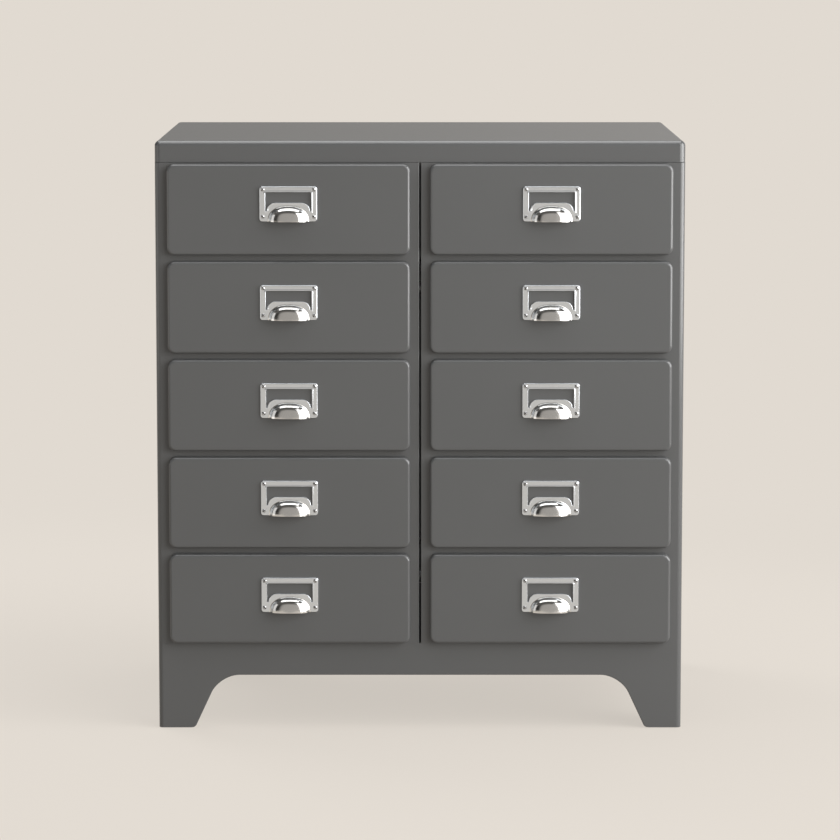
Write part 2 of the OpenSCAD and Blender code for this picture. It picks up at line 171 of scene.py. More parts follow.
def joined(parts):
    """One bmesh out of several."""
    whole = bmesh.new()
    for part in parts:
        mesh = bpy.data.meshes.new("part")
        part.to_mesh(mesh)
        part.free()
        whole.from_mesh(mesh)
        bpy.data.meshes.remove(mesh)
    return whole


def face_outwards(bm, middle):
    """Turns the faces of an open sheet away from the middle of what it wraps."""
    bmesh.ops.recalc_face_normals(bm, faces=bm.faces)
    outward = sum(f.normal.dot(f.calc_center_median() - middle) * f.calc_area() for f in bm.faces)
    if outward < 0:
        bmesh.ops.reverse_faces(bm, faces=bm.faces)


def made_piece(name, bm, material, slot, body, *nodes):
    """Finishes a bmesh as a piece that rides on a body and stands for CAD nodes."""
    mesh = bpy.data.meshes.new(name)
    bm.to_mesh(mesh)
    bm.free()
    mesh.polygons.foreach_set("use_smooth", [True] * len(mesh.polygons))
    mesh.set_sharp_from_angle(angle=SHARP_ANGLE)
    mesh.materials.append(material)
    piece = bpy.data.objects.new(name, mesh)
    bpy.context.scene.collection.objects.link(piece)
    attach(piece, body)
    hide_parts(*nodes)
    return piece


def even_shading(piece):
    """Keeps flat faces flat in the shading beside their rounded edges."""
    shading = piece.modifiers.new("even_shading", "WEIGHTED_NORMAL")
    shading.keep_sharp = True


def give_thickness(piece, thickness, edge_r):
    """Gives an open sheet its thickness inwards, and breaks its cut edges."""
    wall = piece.modifiers.new("wall", "SOLIDIFY")
    wall.thickness = thickness
    wall.offset = -1
    wall.use_even_offset = True
    wall.use_quality_normals = True
    edge = piece.modifiers.new("cut_edges", "BEVEL")
    edge.width = edge_r
    edge.segments = 2
    edge.limit_method = "ANGLE"
    edge.angle_limit = SHARP_ANGLE
    even_shading(piece)


def skirt_panel(width, lip):
    """One side of the skirt, standing on the X axis and facing -Y, from leg to leg."""
    bm = bmesh.new()
    half = width / 2
    foot, top = skirt_lo.z, skirt_hi.z
    toe = half - LEG_W - foot * math.tan(LEG_SLANT)
    shoulder = toe - (ARCH_H - foot) * math.tan(LEG_SLANT)
    outline = [(half, foot), (toe, foot), (shoulder, ARCH_H)]
    outline += [(-x, z) for x, z in reversed(outline)]
    verts = chain(bm, [(x, 0, z) for x, z in outline])
    for vert in (verts[1], verts[4]):
        round_corner(bm, vert, TOE_R, segments=4)
    for vert in (verts[2], verts[3]):
        round_corner(bm, vert, ARCH_R, segments=12)
    lower = list(bm.edges)
    arch = [e for e in lower if max(v.co.z for v in e.verts) > foot + TINY]
    for vert in pull_out(bm, lower, (0, 0, 0)):
        vert.co.z = top
    if lip:
        pull_out(bm, arch, (0, lip, 0))
        bmesh.ops.recalc_face_normals(bm, faces=bm.faces)
        round_fold(bm, arch, FOLD_R, segments=3)
    return bm


def stand(bm, turn, place):
    """Turns a part about the upright axis and puts it in its place."""
    bmesh.ops.rotate(bm, verts=bm.verts, cent=(0, 0, 0), matrix=Matrix.Rotation(turn, 3, "Z"))
    bmesh.ops.translate(bm, verts=bm.verts, vec=place)
    return bm


def bend_corners(bm, lo, hi):
    """Rounds the upright corners of a sheet that wraps the carcase."""
    corners = [(x, y) for x in (lo.x, hi.x) for y in (lo.y, hi.y)]
    upright = [e for e in bm.edges if any(
        all(abs(v.co.x - x) < TINY and abs(v.co.y - y) < TINY for v in e.verts) for x, y in corners)]
    round_fold(bm, upright, CORNER_R, CORNER_STEPS)


def cut(bm, place, normal):
    """Scores every face along a plane."""
    bmesh.ops.bisect_plane(bm, geom=bm.verts[:] + bm.edges[:] + bm.faces[:], dist=TINY,
                           plane_co=place, plane_no=normal)


def ledge_plate(lo, hi):
    """The flat ledge inside the skirt's upper edge, open at the back."""
    bm = bmesh.new()
    edge, back = SHEET / 2, hi.y - LEDGE_BACK_GAP
    middle = ((lo.x + hi.x) / 2, (lo.y + edge + back) / 2, hi.z - SHEET)
    bmesh.ops.create_grid(bm, x_segments=1, y_segments=1, size=0.5)
    bmesh.ops.scale(bm, vec=(hi.x - lo.x - 2 * edge, back - lo.y - edge, 1), verts=bm.verts)
    bmesh.ops.translate(bm, vec=middle, verts=bm.verts)
    left, right, near = lo.x + LEDGE_W, hi.x - LEDGE_W, lo.y + LEDGE_W
    cut(bm, (left, 0, 0), (1, 0, 0))
    cut(bm, (right, 0, 0), (1, 0, 0))
    cut(bm, (0, near, 0), (0, 1, 0))
    opening = [f for f in bm.faces if left < f.calc_center_median().x < right
               and f.calc_center_median().y > near]
    bmesh.ops.delete(bm, geom=opening, context="FACES")
    corners = [v for v in bm.verts
               if v.co.y < near - TINY and not left - TINY < v.co.x < right + TINY]
    bmesh.ops.bevel(bm, geom=corners, offset=CORNER_R - edge, offset_type="OFFSET", segments=6,
                    profile=0.5, affect="VERTICES", material=-1)
    return bm


paint = powder_coat()
skirt_lo, skirt_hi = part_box("plinth_skirt")
case_w, case_d = skirt_hi.x - skirt_lo.x, skirt_hi.y - skirt_lo.y
case_mid = (skirt_lo + skirt_hi) / 2

front = stand(skirt_panel(case_w, ARCH_LIP), 0, (0, skirt_lo.y, 0))
sides = [stand(skirt_panel(case_d, ARCH_LIP), way * math.pi / 2, (way * case_w / 2, case_mid.y, 0))
         for way in (1, -1)]
back = stand(skirt_panel(case_w, 0), math.pi, (0, skirt_hi.y, 0))
lap_x = case_w / 2 - BACK_LAP
for way in (1, -1):
    cut(back, (way * lap_x, 0, 0), (way, 0, 0))
between_laps = [f for f in back.faces if abs(f.calc_center_median().x) < lap_x]
bmesh.ops.delete(back, geom=between_laps, context="FACES")
skirt = joined([front, *sides, back])
bmesh.ops.remove_doubles(skirt, verts=skirt.verts, dist=TINY)
face_outwards(skirt, case_mid)
bend_corners(skirt, skirt_lo, skirt_hi)
skirt = joined([skirt, ledge_plate(skirt_lo, skirt_hi)])
skirt_piece = made_piece("plinth_skirt_steel", skirt, paint, "paint", "carcase", "plinth_skirt")
give_thickness(skirt_piece, SHEET, CUT_EDGE_R)

# ---------- Floor of the body, plinth back, foot plates ----------
# Flat blanks cut and folded from the same sheet and spot-welded to the skirt. The foot plates are
# 3 mm steel with a tapped hole. All of them are coated together with the skirt.
PLATE_EDGE_R = 0.5 * MM
FLAT_ANGLE = math.radians(0.5)
EDGE_ANGLE = math.radians(40)


def merged_copy(node):
    """A copy of a CAD node with its loose triangles joined into whole faces."""
    bm = bmesh.new()
    bm.from_mesh(frame["nodes"][node].data)
    bmesh.ops.remove_doubles(bm, verts=bm.verts, dist=TINY)
    bmesh.ops.dissolve_limit(bm, angle_limit=FLAT_ANGLE, verts=bm.verts, edges=bm.edges)
    return bm


def break_edges(bm, radius):
    """Rounds the outer edges of a solid a little, as tumbling or coating does."""
    outer = [e for e in bm.edges
             if e.is_manifold and e.is_convex and e.calc_face_angle() > EDGE_ANGLE]
    round_fold(bm, outer, radius, segments=2)


def body_of(node):
    """The body that a CAD node rides on."""
    bodies = frame["record"]["behaviour"]["bodies"]
    return next(body for body, members in bodies.items() if node in members)


def finished_node(node, material, slot, radius):
    """A CAD node as a finished piece with soft edges."""
    bm = merged_copy(node)
    break_edges(bm, radius)
    piece = made_piece(f"{node}_finished", bm, material, slot, body_of(node), node)
    even_shading(piece)
    return piece


for node in ("base_pan", "plinth_back"):
    finished_node(node, paint, "paint", CUT_EDGE_R)
finished_node("foot_plates", paint, "paint", PLATE_EDGE_R)

# ---------- Foot glides ----------
# Black nylon pads moulded on a threaded stud, screwed up through the foot plates and locked with a
# nut, so that the cabinet stands level and its steel stays off the floor.
GLIDE_EDGE_R = 0.4 * MM


def black_nylon():
    """Moulded nylon: a dull black, slightly scuffed."""
    material = bpy.data.materials.new("black_nylon")
    material.use_nodes = True
    grain = noise(material, scale=600, detail=3)
    roughness_between(material, grain, 0.42, 0.68)
    colour_between(material, grain, (0.018, 0.018, 0.018), (0.035, 0.035, 0.034))
    return material


finished_node("foot_glides", black_nylon(), "glide_plastic", GLIDE_EDGE_R)

# ---------- Front frames ----------
# Each bay has one sheet with five openings cut in it. The edges of the openings and the inner edge
# are folded back as lips, and the outer edge wraps the corner of the carcase. The two inner folds
# stand a little apart, which leaves the narrow dark line down the middle of the front.
OVERLAP_X = 7 * MM
OVERLAP_Z = 5 * MM
LIP_D = 12 * MM
LIP_FOLD_R = 1 * MM
SIDE_RETURN = 18 * MM
ROWS = 5


def rectangle(bm, lo, hi):
    """An upright rectangle in the plane of lo.y."""
    corners = [(lo.x, lo.z), (hi.x, lo.z), (hi.x, hi.z), (lo.x, hi.z)]
    bm.faces.new([bm.verts.new((x, lo.y, z)) for x, z in corners])


def frame_sheet(lo, hi, openings):
    """The right-hand frame as an open sheet, folded but without its thickness."""
    bm = bmesh.new()
    rectangle(bm, lo, hi)
    hole_sides = (openings[0][0].x, openings[0][1].x)
    for x in hole_sides:
        cut(bm, (x, 0, 0), (1, 0, 0))
    for low, high in openings:
        cut(bm, (0, 0, low.z), (0, 0, 1))
        cut(bm, (0, 0, high.z), (0, 0, 1))
    holes = [f for f in bm.faces if any(
        low.x < f.calc_center_median().x < high.x and low.z < f.calc_center_median().z < high.z
        for low, high in openings)]
    bmesh.ops.delete(bm, geom=holes, context="FACES")

    rim = [e for e in bm.edges if e.is_boundary]
    outer = [e for e in rim if all(abs(v.co.x - hi.x) < TINY for v in e.verts)]
    inner = [e for e in rim if all(abs(v.co.x - lo.x) < TINY for v in e.verts)]
    round_holes = [e for e in rim if not any(
        abs(v.co.x - lo.x) < TINY or abs(v.co.x - hi.x) < TINY for v in e.verts) and not any(
        all(abs(v.co.z - z) < TINY for v in e.verts) for z in (lo.z, hi.z))]
    pull_out(bm, outer, (0, SIDE_RETURN, 0))
    pull_out(bm, inner, (0, LIP_D, 0))
    pull_out(bm, round_holes, (0, LIP_D, 0))
    bmesh.ops.recalc_face_normals(bm, faces=bm.faces)
    corners = [e for vert in {v for e in round_holes for v in e.verts} for e in vert.link_edges
               if abs((e.verts[0].co - e.verts[1].co).y) > TINY
               and any(abs(vert.co.x - x) < TINY for x in hole_sides)]
    round_fold(bm, round_holes + corners, LIP_FOLD_R, segments=3)
    round_fold(bm, outer, CORNER_R, CORNER_STEPS)
    round_fold(bm, inner, LIP_FOLD_R, segments=5)
    return bm


def mirror(bm):
    """Makes a right-hand part the one for the left-hand bay."""
    bmesh.ops.scale(bm, vec=(-1, 1, 1), verts=bm.verts)
    bmesh.ops.reverse_faces(bm, faces=bm.faces)


front_boxes = [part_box(f"right_drawer_{row}_front") for row in range(1, ROWS + 1)]
lap = Vector((OVERLAP_X, 0, OVERLAP_Z))
openings = [(lo + lap, hi - lap) for lo, hi in front_boxes]
frame_lo, frame_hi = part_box("right_front_frame")
for side in ("left", "right"):
    bm = frame_sheet(frame_lo, frame_hi, openings)
    bmesh.ops.recalc_face_normals(bm, faces=bm.faces)
    plane = max(bm.faces, key=lambda f: f.calc_area())
    if plane.normal.y > 0:
        bmesh.ops.reverse_faces(bm, faces=bm.faces)
    if side == "left":
        mirror(bm)
    piece = made_piece(f"{side}_front_frame_steel", bm, paint, "paint", "carcase", f"{side}_front_frame")
    give_thickness(piece, SHEET, CUT_EDGE_R)

# ---------- Side panels ----------
# One sheet a side. Its front edge is joggled in behind the frame's wrap, and its rear edge is bent
# round the corner and turned in, where the back panel is screwed to it.
TUCK = 10 * MM
BACK_RETURN = 25.7 * MM

panel_lo, panel_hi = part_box("right_side_panel")
seam_y = frame_lo.y + SIDE_RETURN
for side in ("left", "right"):
    bm = bmesh.new()
    plan = [
        (panel_hi.x - SHEET, seam_y - TUCK), (panel_hi.x - SHEET, seam_y - SHEET / 4),
        (panel_hi.x, seam_y + SHEET), (panel_hi.x, panel_hi.y),
        (panel_hi.x - CORNER_R - BACK_RETURN, panel_hi.y),
    ]
    verts = chain(bm, [(x, y, panel_lo.z) for x, y in plan])
    round_corner(bm, verts[3], CORNER_R, CORNER_STEPS)
    pull_out(bm, bm.edges[:], (0, 0, panel_hi.z - panel_lo.z))
    face_outwards(bm, Vector((0, case_mid.y, 0)))
    if side == "left":
        mirror(bm)
    piece = made_piece(f"{side}_side_panel_steel", bm, paint, "paint", "carcase", f"{side}_side_panel")
    give_thickness(piece, SHEET, CUT_EDGE_R)

# ---------- Dividers and back panel ----------
# Plain sheets inside the side panels. The dividers are the inner walls of the bays, and the back
# panel closes the carcase between the two turned-in edges. Its lower edge is drawn down onto the
# floor of the body, so that no light shows under it.
BACK_DROP = 0.9 * MM
BACK_EDGE_ZONE = 0.5 * MM

for node in ("left_divider", "right_divider"):
    finished_node(node, paint, "paint", CUT_EDGE_R)
back_sheet = finished_node("back_panel", paint, "paint", CUT_EDGE_R)
zone_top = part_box("back_panel")[0].z + BACK_EDGE_ZONE
for vert in back_sheet.data.vertices:
    if vert.co.z < zone_top:
        vert.co.z -= BACK_DROP

# ---------- Runners, tie bolts and screws ----------
# Z-section rails of zinc-plated steel hold each drawer by its floor and its sides. Slotted zinc
# screws hold the back panel and the lid, and four bolts with spacers tie the bays together.
RAIL_EDGE_R = 0.2 * MM
SCREW_EDGE_R = 0.15 * MM


def zinc_plate():
    """Bright zinc: a bluish metal with a faint spangle."""
    material = bpy.data.materials.new("zinc_plate")
    material.use_nodes = True
    nodes, links = material.node_tree.nodes, material.node_tree.links
    nodes["Principled BSDF"].inputs["Metallic"].default_value = 1
    spangle = nodes.new("ShaderNodeTexVoronoi")
    spangle.inputs["Scale"].default_value = 260
    links.new(nodes.new("ShaderNodeTexCoord").outputs["Object"], spangle.inputs["Vector"])
    colour_between(material, spangle.outputs["Color"], (0.47, 0.49, 0.51), (0.60, 0.62, 0.63))
    roughness_between(material, spangle.outputs["Color"], 0.30, 0.46)
    return material


zinc = zinc_plate()
for node in ("left_bay_runners", "right_bay_runners"):
    finished_node(node, zinc, "zinc", RAIL_EDGE_R)
for node in ("back_screws", "lid_screws", "bay_tie_bolts"):
    finished_node(node, zinc, "zinc", SCREW_EDGE_R)

# ---------- Drawer buffers ----------
# Small pads of black rubber glued to the frame, two for each drawer. A shut front rests on them,
# so that the coat of neither is knocked off.
BUFFER_EDGE_R = 0.25 * MM


def black_rubber():
    """Soft black rubber with a fine grain."""
    material = bpy.data.materials.new("black_rubber")
    material.use_nodes = True
    grain = noise(material, scale=1500)
    colour_between(material, grain, (0.014, 0.014, 0.014), (0.032, 0.032, 0.032))
    material.node_tree.nodes["Principled BSDF"].inputs["Roughness"].default_value = 0.8
    return material


finished_node("drawer_buffers", black_rubber(), "rubber", BUFFER_EDGE_R)

# ---------- Lid and its carrier ----------
# The carrier is a folded tray welded into the top of the body. The lid is a deep pressing that
# drops over it: its top edge and its corners are drawn round, and its apron ends in a small hem.
LID_CORNER_R = 7 * MM
LID_EDGE_R = 6 * MM
LID_HEM = 1.8 * MM
LID_HEM_R = 0.9 * MM
PRESSED_EDGE_R = 0.2 * MM


def pressed_box(lo, hi, open_way, corner_r, edge_r, hem, hem_r, corner_steps, edge_steps):
    """A pressed pan that fills a box and is open on one side, where its edge is folded in."""
    bm = bmesh.new()
    bmesh.ops.create_cube(bm, size=1)
    bmesh.ops.scale(bm, vec=hi - lo, verts=bm.verts)
    bmesh.ops.translate(bm, vec=(lo + hi) / 2, verts=bm.verts)
    axis = Vector(open_way)
    walls = [e for e in bm.edges
             if abs((e.verts[0].co - e.verts[1].co).normalized().dot(axis)) > 0.99]
    round_fold(bm, walls, corner_r, corner_steps)
    bm.normal_update()
    face = min(bm.faces, key=lambda f: f.normal.dot(axis))
    round_fold(bm, face.edges[:], edge_r, edge_steps)
    bm.normal_update()
    mouth = max(bm.faces, key=lambda f: f.normal.dot(axis) * f.calc_area())
    rim = mouth.edges[:]
    bmesh.ops.inset_region(bm, faces=[mouth], thickness=hem, use_even_offset=True)
    bmesh.ops.delete(bm, geom=[mouth], context="FACES")
    round_fold(bm, rim, hem_r, segments=3)
    bm.normal_update()
    return bm


finished_node("lid_carrier", paint, "paint", CUT_EDGE_R)
lid_lo, lid_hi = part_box("top_cap")
lid = pressed_box(lid_lo, lid_hi, (0, 0, -1), LID_CORNER_R, LID_EDGE_R, LID_HEM, LID_HEM_R,
                  corner_steps=8, edge_steps=7)
lid_piece = made_piece("lid_pressing", lid, paint, "paint", "carcase", "top_cap")
give_thickness(lid_piece, SHEET, PRESSED_EDGE_R)

# ---------- Drawer fronts and trays ----------
# A front is a shallow pressing with soft edges and round corners, folded in behind. The tray is
# folded up from one blank, with a hem along the top of its sides, and spot-welded to the front.
FRONT_R = 8.5 * MM
FRONT_EDGE_R = 3.2 * MM
FRONT_HEM = 13 * MM
FRONT_HEM_R = 1.2 * MM

drawers = [f"{side}_drawer_{row}" for side in ("left", "right") for row in range(1, ROWS + 1)]
for drawer in drawers:
    lo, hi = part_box(f"{drawer}_front")
    bm = pressed_box(lo, hi, (0, 1, 0), FRONT_R, FRONT_EDGE_R, FRONT_HEM, FRONT_HEM_R,
                     corner_steps=8, edge_steps=6)
    piece = made_piece(f"{drawer}_front_pressing", bm, paint, "paint", drawer, f"{drawer}_front")
    give_thickness(piece, SHEET, PRESSED_EDGE_R)
    finished_node(f"{drawer}_tray", paint, "paint", CUT_EDGE_R)

# ---------- Cup pulls ----------
# Label frame and cup drawn from one sheet of nickel-plated steel. The frame's outer edge is rolled
# back to the drawer, the window's edge is turned in, and the plate flares out into the polished cup.
PULL_SHEET = 0.9 * MM
PLATE_T = 2.2 * MM
PLATE_R = 3 * MM
RIM_W = 6.6 * MM
RIM_ROLL = 0.9 * MM
WINDOW_R = 1.5 * MM
WINDOW_ROLL = 0.45 * MM
WINDOW_TURN = 1.6 * MM
# A low bead runs round the window. BEAD_TOP is the share of its height along the window's top
BEAD_H = 0.4 * MM
BEAD_W = 1.8 * MM
BEAD_TOP = 0.3
BEAD_STEPS = 6
# The window stops short of the lower corners, and its lower edge arches over the cup
CORNER_BLOCK_H = 12 * MM
FLANGE_HALF = 24.8 * MM
FLANGE_H = 21.5 * MM
FLANGE_R = 9.5 * MM
CUP_HALF = 24 * MM
CUP_H = 18.4 * MM
CUP_RISE = 9.8 * MM
# The cup's outline is half of a superellipse of this power, and its crown leans back upwards
CUP_POWER = 2.3
CUP_LEAN = 0.09
# The cup in section: its slope in degrees, at shares of the way from its middle out to its foot
CUP_SLOPES = ((1.0, 0), (0.985, 22), (0.955, 28), (0.945, 62), (0.93, 69), (0.86, 68), (0.83, 55),
              (0.79, 45), (0.74, 39), (0.69, 32), (0.61, 23), (0.51, 14), (0.41, 8), (0.20, 4), (0.0, 0))
CUP_RING = 0.03
CUP_STEPS = 48


def nickel(name, colour, rough_low, rough_high, squeeze, waviness):
    """Nickel plate: a white metal with fine polishing lines, and not quite flat."""
    material = bpy.data.materials.new(name)
    material.use_nodes = True
    material.node_tree.nodes["Principled BSDF"].inputs["Metallic"].default_value = 1
    lines = noise(material, scale=300, detail=3, squeeze=squeeze)
    roughness_between(material, lines, rough_low, rough_high)
    dull, bright = ([share * value for value in colour] for share in (0.97, 1.03))
    colour_between(material, lines, dull, bright)
    relief(material, noise(material, scale=75, detail=1), strength=1, depth=waviness)
    return material


def cup_sections():
    """Pairs of a share of the way to the foot and a share of the rise, from the foot inwards."""
    shares, rises = [1], [0]
    for (outer, steep), (inner, gentle) in zip(CUP_SLOPES, CUP_SLOPES[1:]):
        rings = math.ceil((outer - inner) / CUP_RING)
        for i in range(rings):
            slope = math.tan(math.radians(steep + (gentle - steep) * (i + 0.5) / rings))
            shares.append(outer + (inner - outer) * (i + 1) / rings)
            rises.append(rises[-1] + slope * (outer - inner) / rings)
    return [(share, rise / rises[-1]) for share, rise in zip(shares, rises)]


def cup_row(share, rise):
    """The cup's outline at a share of its size, from left to right."""
    points = []
    for i in range(CUP_STEPS + 1):
        turn = math.pi * (1 - i / CUP_STEPS)
        x = math.copysign(abs(math.cos(turn)) ** (2 / CUP_POWER), math.cos(turn)) * CUP_HALF * share
        z = max(0, math.sin(turn)) ** (2 / CUP_POWER) * CUP_H * share
        points.append(Vector((x, CUP_LEAN * z * (1 - share) - PLATE_T - CUP_RISE * rise, z)))
    return points


def ways_out(points, closed=False):
    """For each point of an outline in X and Z, the way that moves its left side out by one unit."""
    count = len(points)
    ways = []
    for i in range(count):
        sides = []
        for a, b in ((i - 1, i), (i, i + 1)):
            if closed or 0 <= a < b < count:
                step = points[b % count] - points[a % count]
                sides.append(Vector((-step.z, 0, step.x)).normalized())
        ways.append(sum(sides, Vector()) / (1 + sides[0].dot(sides[1])) if len(sides) == 2 else sides[0])
    return ways


def arc(x, z, radius, start, end, steps=7):
    """Points of an arc in X and Z, its angles in degrees."""
    turns = [math.radians(start + (end - start) * i / steps) for i in range(steps + 1)]
    return [Vector((x + radius * math.cos(t), 0, z + radius * math.sin(t))) for t in turns]


def rolled_edge(outline, ways, rolls, front, back, steps=4):
    """Rows from the back of a turned edge round to the plane of the plate's face."""
    rows = [[Vector((p.x, -back, p.z)) for p in outline]]
    for i in range(steps + 1):
        turn = math.pi / 2 * i / steps
        inwards, forwards = 1 - math.cos(turn), 1 - math.sin(turn)
        rows.append([p - way * roll * inwards + Vector((0, roll * forwards - front, 0))
                     for p, way, roll in zip(outline, ways, rolls)])
    return rows


def strip(bm, rows, closed=False, material=0):
    """Faces between rows of points."""
    grid = [[bm.verts.new(p) for p in row] for row in rows]
    for low, high in zip(grid, grid[1:]):
        count = len(low)
        for i in range(count if closed else count - 1):
            j = (i + 1) % count
            bm.faces.new((low[i], low[j], high[j], high[i])).material_index = material


def within(loop, spot):
    """Whether a spot lies inside a closed outline in X and Z."""
    inside = False
    for a, b in zip(loop, loop[1:] + loop[:1]):
        if (a.z > spot.z) != (b.z > spot.z):
            crossing = a.x + (spot.z - a.z) * (b.x - a.x) / (b.z - a.z)
            if spot.x < crossing:
                inside = not inside
    return inside


def cup_pull(width, height):
    """The pull as an open sheet, standing on the X axis with its back in the plane of Y = 0."""
    half = width / 2
    rows = [cup_row(share, rise) for share, rise in cup_sections()]
    flare = rows[0]
    bm = bmesh.new()
    strip(bm, rows, material=1)

    x, z = half - PLATE_R, height - PLATE_R
    outline = [Vector((flare[0].x, 0, 0)), *arc(-x, PLATE_R, PLATE_R, 270, 180),
               *arc(-x, z, PLATE_R, 180, 90), *arc(x, z, PLATE_R, 90, 0),
               *arc(x, PLATE_R, PLATE_R, 0, -90), Vector((flare[-1].x, 0, 0))]
    rolls = [0, *[RIM_ROLL] * (len(outline) - 2), 0]
    edge = rolled_edge(outline, ways_out(outline), rolls, PLATE_T, 0)
    strip(bm, edge)

    x, z = half - RIM_W, height - RIM_W - WINDOW_R
    bend_x, bend_z = FLANGE_HALF - FLANGE_R, FLANGE_H - FLANGE_R
    outline = [Vector((-x, 0, CORNER_BLOCK_H)), *arc(-bend_x, bend_z, FLANGE_R, 180, 90, 10),
               *arc(bend_x, bend_z, FLANGE_R, 90, 0, 10), Vector((x, 0, CORNER_BLOCK_H)),
               *arc(x - WINDOW_R, z, WINDOW_R, 0, 90, 4), *arc(WINDOW_R - x, z, WINDOW_R, 90, 180, 4)]
    ways = ways_out(outline, True)
    window = rolled_edge(outline, ways, [WINDOW_ROLL] * len(outline), PLATE_T, PLATE_T - WINDOW_TURN, 3)
    beads = [BEAD_H * (1 - (1 - BEAD_TOP) * max(0, -way.normalized().z)) for way in ways]
    for row in window[1:]:
        for point, bead in zip(row, beads):
            point.y -= bead
    for i in range(1, BEAD_STEPS + 1):
        t = i / BEAD_STEPS
        fall = t * t * (3 - 2 * t) - 1
        window.append([p - way * (WINDOW_ROLL + BEAD_W * t) + Vector((0, bead * fall - PLATE_T, 0))
                       for p, way, bead in zip(outline, ways, beads)])
    strip(bm, window, closed=True)

    face = bmesh.new()
    chain(face, edge[-1] + flare[-2:0:-1], closed=True)
    chain(face, window[-1], closed=True)
    bmesh.ops.triangle_fill(face, use_beauty=True, edges=face.edges[:])
    hole = [f for f in face.faces if within(window[-1], f.calc_center_median())]
    bmesh.ops.delete(face, geom=hole, context="FACES_ONLY")
    bm = joined([bm, face])
    bmesh.ops.remove_doubles(bm, verts=bm.verts, dist=TINY)
    face_outwards(bm, Vector((0, 0, height / 3)))
    return bm


satin_nickel = nickel("satin_nickel", (0.67, 0.70, 0.73), 0.15, 0.24, (1, 1, 6), 0.12 * MM)
bright_nickel = nickel("bright_nickel", (0.70, 0.69, 0.67), 0.12, 0.17, (6, 1, 1), 0.03 * MM)
for drawer in drawers:
    lo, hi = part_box(f"{drawer}_pull")
    bm = cup_pull(hi.x - lo.x, hi.z - lo.z)
    bmesh.ops.translate(bm, vec=((lo.x + hi.x) / 2, hi.y, lo.z), verts=bm.verts)
    piece = made_piece(f"{drawer}_cup_pull", bm, satin_nickel, "nickel", drawer, f"{drawer}_pull")
    piece.data.materials.append(bright_nickel)
    give_thickness(piece, PULL_SHEET, PRESSED_EDGE_R)

# ---------- Pull screws ----------
# Four small slotted screws a pull, with round nickel-plated heads, driven home by hand, so the
# slots end at all kinds of angles. They cut their thread in the skin of the hollow front.
SLOT_TURNS = (38, -52, 24, 61, -35, 47, -63, 30)
SLOT_HALF = 0.45 * MM
SLOT_DEPTH = 0.9 * MM
HEAD_EDGE_R = 0.12 * MM


def make_slot_shade():
    """Near-black paint for the floor of a screw's slot: painted shade, as the narrow slot lies in shade.
    """
    material = bpy.data.materials.new("painted_slot_shade")
    material.use_nodes = True
    specks = noise(material, scale=2500)
    colour_between(material, specks, (0.010, 0.009, 0.008), (0.030, 0.027, 0.024))
    material.node_tree.nodes["Principled BSDF"].inputs["Roughness"].default_value = 0.8
    return material


# A darker copy of the pull's nickel for the screw heads: painted shade that keeps their small domes dark
shaded_screw_nickel = nickel("shaded_screw_nickel", (0.40, 0.40, 0.40), 0.24, 0.36, (1, 1, 1), 0.1 * MM)
slot_shade = make_slot_shade()
slot_turns = cycle(SLOT_TURNS)
for drawer in drawers:
    node = f"{drawer}_pull_screws"
    lo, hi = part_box(node)
    middle = (lo + hi) / 2
    bm = merged_copy(node)
    break_edges(bm, HEAD_EDGE_R)
    for right, high in ((False, False), (False, True), (True, False), (True, True)):
        screw = [v for v in bm.verts if (v.co.x > middle.x) == right and (v.co.z > middle.z) == high]
        centre = sum((v.co for v in screw), Vector()) / len(screw)
        for face in {f for v in screw for f in v.link_faces}:
            spot = face.calc_center_median()
            # Faces at the bottom of the slot take the near-black painted shade
            if abs(spot.z - centre.z) < SLOT_HALF and spot.y < lo.y + SLOT_DEPTH:
                face.material_index = 1
        turn = Matrix.Rotation(math.radians(next(slot_turns)), 3, "Y")
        bmesh.ops.rotate(bm, verts=screw, cent=centre, matrix=turn)
    piece = made_piece(f"{drawer}_pull_screw_set", bm, shaded_screw_nickel, "nickel", drawer, node)
    piece.data.materials.append(slot_shade)
    even_shading(piece)

# ---------- Studio ----------
# A pale warm floor that runs past the edge of the view, in a dim room. Two tall soft boxes stand on
# the right and one hangs overhead. A card on the left shows only in the metal, and a lamp behind the
# cabinet, unseen in the metal, lights its back and left side.
FLOOR_HALF = 150
FLOOR_COLOUR = (0.753, 0.701, 0.638, 1)
# Near the cabinet this share of the floor's look is real light, which lets a shadow fall on it. It
# fades out between two distances. The floor throws back less light than it shows.
FLOOR_SHADE = 0.22
FLOOR_LIT = 0.8
FLOOR_BOUNCE = 0.3
SHADE_NEAR = 0.8
SHADE_FAR = 1.7

floor_mesh = bmesh.new()
bmesh.ops.create_grid(floor_mesh, x_segments=1, y_segments=1, size=FLOOR_HALF)
mesh = bpy.data.meshes.new("studio_floor")
floor_mesh.to_mesh(mesh)
floor_mesh.free()
floor = bpy.data.objects.new("studio_floor", mesh)
bpy.context.scene.collection.objects.link(floor)


